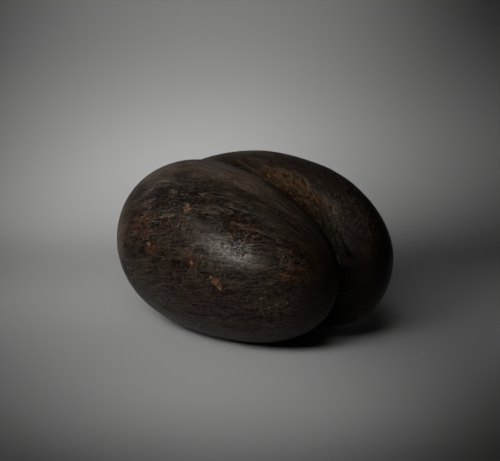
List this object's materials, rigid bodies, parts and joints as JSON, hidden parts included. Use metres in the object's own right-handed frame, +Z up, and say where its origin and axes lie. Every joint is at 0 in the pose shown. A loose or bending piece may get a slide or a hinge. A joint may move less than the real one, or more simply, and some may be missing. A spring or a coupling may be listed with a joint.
{
  "type": "coco de mer nut",
  "caption": "Large dark two-lobed palm nut lying on its belly, lobes joined along a groove and parted at their tips.",
  "frame": {"origin": "on the surface the nut rests on, under the middle of its length and width", "axes": "+Z up, Y along the two lobes with the joined end at +Y and the free tips at -Y, X from lobe to lobe"},
  "size_m": [0.2368, 0.3, 0.1762],
  "materials": {
    "shell": "satin"
  },
  "bodies": {
    "root": {"nut": "shell"}
  },
  "joints": []
}
